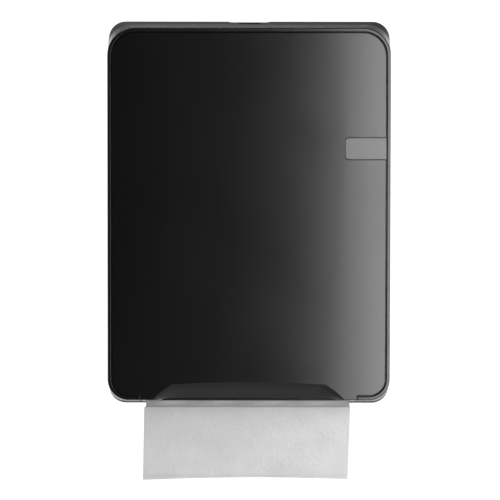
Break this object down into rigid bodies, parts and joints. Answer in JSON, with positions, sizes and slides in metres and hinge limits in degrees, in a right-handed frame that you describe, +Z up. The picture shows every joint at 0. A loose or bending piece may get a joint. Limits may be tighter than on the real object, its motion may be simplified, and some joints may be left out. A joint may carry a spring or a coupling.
{
  "type": "folded paper towel dispenser",
  "caption": "Wall-hung folded hand-towel dispenser: black tapered casing, tip-down front cover with crowned satin panel and bare plate, quarter-turn lock, tray, guides and towels.",
  "frame": {"origin": "middle of the wall-screw holes, on the wall plane, at the casing's mid-height", "axes": "+X to the right seen from the front, +Y into the wall, the front looks to -Y, +Z up"},
  "size_m": [0.29, 0.1415, 0.4649],
  "materials": {
    "casing_plastic": "fine moulded texture",
    "panel_plastic": "satin, fine grain",
    "inner_plastic": "plain moulded",
    "plate_plastic": "satin",
    "screw_steel": "bright zinc",
    "pin_steel": "turned",
    "plated_steel": "zinc plated",
    "lock_metal": "dark die cast",
    "towel_paper": "crepe, lightly embossed"
  },
  "bodies": {
    "wall_unit": {"wall_casing": "casing_plastic", "towel_tray": "inner_plastic", "tray_screw": "screw_steel", "pack_guide_left": "inner_plastic", "pack_guide_right": "inner_plastic", "guide_screws": "screw_steel", "hinge_pin_left": "pin_steel", "hinge_pin_right": "pin_steel", "lock_housing": "inner_plastic", "lock_housing_screw": "screw_steel", "towel_pack": "towel_paper"},
    "cover": {"cover_frame": "casing_plastic", "front_panel": "panel_plastic", "name_plate": "plate_plastic", "strike_plate": "plated_steel", "strike_screw": "screw_steel"},
    "lock": {"lock_barrel": "lock_metal", "lock_cam": "plated_steel", "cam_washer": "screw_steel", "cam_screw": "screw_steel"},
    "sheet": {"towel_sheet": "towel_paper"}
  },
  "joints": [
    {"name": "cover_hinge", "type": "hinge", "parent": "wall_unit", "child": "cover", "pos_m": [0, -0.0818, -0.17713], "axis": [1, 0, 0], "range_deg": [0, 95]},
    {"name": "lock_turn", "type": "hinge", "parent": "wall_unit", "child": "lock", "pos_m": [0, -0.04, 0.17], "axis": [0, 0, 1], "range_deg": [0, 90]},
    {"name": "towel_pull", "type": "slide", "parent": "wall_unit", "child": "sheet", "axis": [0, 0, -1], "range_m": [0, 0.1]}
  ]
}
